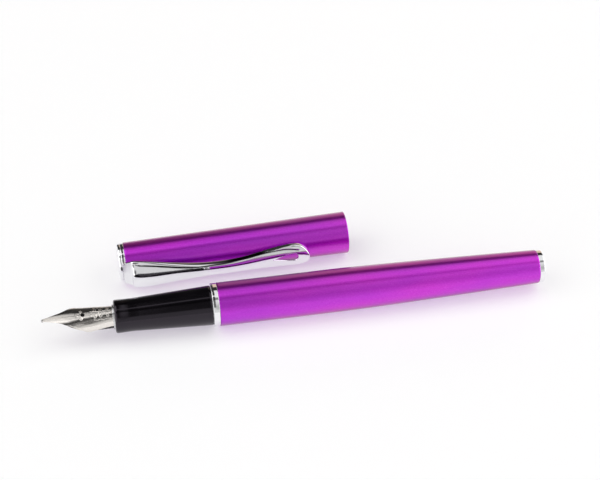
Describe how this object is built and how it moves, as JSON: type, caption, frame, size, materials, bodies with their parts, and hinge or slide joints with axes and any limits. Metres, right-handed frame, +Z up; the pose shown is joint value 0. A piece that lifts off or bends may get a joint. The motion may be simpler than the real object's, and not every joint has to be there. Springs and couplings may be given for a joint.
{
  "type": "fountain pen",
  "caption": "Slim metal fountain pen with black grip, steel nib and converter, lying uncapped beside its tapered slip cap with a waisted spring clip.",
  "frame": {"origin": "on the surface that pen and cap lie on, under the middle of the whole object's box", "axes": "+X along the pen from nib to tail, +Y from the pen towards the cap, +Z up"},
  "size_m": [0.122, 0.0312, 0.0105],
  "materials": {
    "violet_metal": "iridescent violet coating over fine brushed metal",
    "chrome_trim": "mirror polished",
    "black_gloss": "polished",
    "nib_steel": "polished with engraved lines",
    "tipping_metal": "ground and polished",
    "feed_plastic": "satin moulded",
    "inner_plastic": "satin moulded",
    "clear_plastic": "clear moulded",
    "seal_rubber": "soft satin",
    "thread_metal": "machined",
    "brass": "machined"
  },
  "bodies": {
    "barrel": {"barrel": "violet_metal", "thread_bush": "brass", "tail_ring": "chrome_trim", "tail_button": "chrome_trim", "tail_bush": "inner_plastic"},
    "trim_ring": {"trim_ring": "chrome_trim"},
    "grip": {"grip_section": "black_gloss", "thread_sleeve": "thread_metal", "nib_collar": "thread_metal"},
    "nib_unit": {"nib": "nib_steel", "nib_tipping": "tipping_metal", "feed": "feed_plastic"},
    "converter": {"converter_tube": "clear_plastic", "converter_band": "chrome_trim", "rod_guide": "inner_plastic"},
    "piston": {"piston_seal": "seal_rubber", "piston_rod": "inner_plastic"},
    "knob": {"converter_knob": "black_gloss"},
    "cap": {"cap_tube": "violet_metal", "clip_ring": "chrome_trim", "finial": "chrome_trim", "cap_nut": "brass", "inner_cap": "inner_plastic", "cap_clutch": "inner_plastic"},
    "clip": {"clip": "chrome_trim"}
  },
  "joints": [
    {"name": "grip_turn", "type": "hinge", "parent": "barrel", "child": "trim_ring", "pos_m": [-0.0198, -0.0104, 0.00525], "axis": [1, 0, 0], "range_deg": [0, 1440]},
    {"name": "grip_pull", "type": "slide", "parent": "trim_ring", "child": "grip", "axis": [-1, 0, 0], "range_m": [0, 0.072]},
    {"name": "nib_pull", "type": "slide", "parent": "grip", "child": "nib_unit", "axis": [-1, 0, 0], "range_m": [0, 0.017]},
    {"name": "converter_pull", "type": "slide", "parent": "grip", "child": "converter", "axis": [1, 0, 0], "range_m": [0, 0.006]},
    {"name": "knob_turn", "type": "hinge", "parent": "converter", "child": "knob", "pos_m": [0.029, -0.0104, 0.00525], "axis": [1, 0, 0], "range_deg": [0, 1260]},
    {"name": "piston_slide", "type": "slide", "parent": "converter", "child": "piston", "axis": [1, 0, 0], "range_m": [0, 0.021]},
    {"name": "cap_slide", "type": "slide", "parent": "barrel", "child": "cap", "axis": [-0.9999, -0.0157, 0], "range_m": [0, 0.08]},
    {"name": "clip_flex", "type": "hinge", "parent": "cap", "child": "clip", "pos_m": [-0.03739, 0.00286, 0.00563], "axis": [0.0117, -0.139, -0.9902], "range_deg": [0, 4], "stiffness_Nm_per_rad": 1.5}
  ],
  "couplings": [
    {"joint": "knob_turn", "follows": "piston_slide", "rad_per_m": 1047.2}
  ]
}
